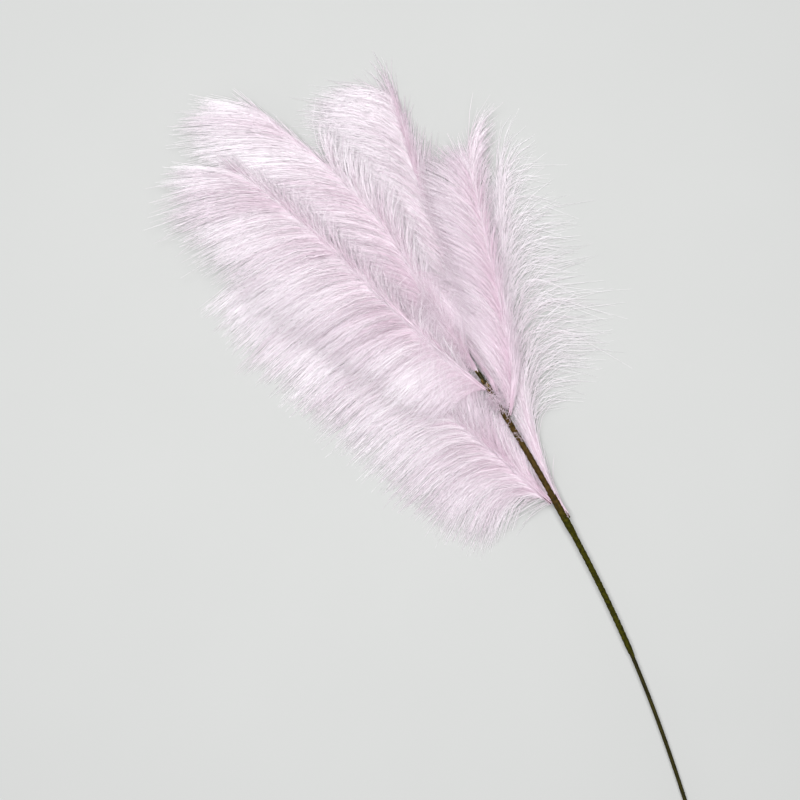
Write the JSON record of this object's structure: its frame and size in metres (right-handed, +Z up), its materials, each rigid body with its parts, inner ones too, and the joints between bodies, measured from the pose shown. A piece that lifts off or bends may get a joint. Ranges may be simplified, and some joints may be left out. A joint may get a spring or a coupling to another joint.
{
  "type": "artificial pampas grass stem",
  "caption": "Loose artificial pampas grass spray lying down: a thin bent wire stem, tape round its head, and long soft pink plumes that fan out and droop to one side.",
  "frame": {"origin": "middle of the underside of the spray's box, on the surface it lies on", "axes": "+Y from the cut end of the stem to the plume tips, +Z up from the surface, +X to the right seen from above"},
  "size_m": [0.3812, 1.1074, 0.0742],
  "materials": {
    "stem_plastic": "satin",
    "floral_tape": "matte",
    "plume_fibre": "soft"
  },
  "bodies": {
    "root": {"stem": "stem_plastic", "binding_tape": "floral_tape", "plume_low_left": "plume_fibre", "plume_left": "plume_fibre", "plume_terminal": "plume_fibre", "plume_top": "plume_fibre", "plume_right": "plume_fibre", "plume_low_right": "plume_fibre"}
  },
  "joints": []
}
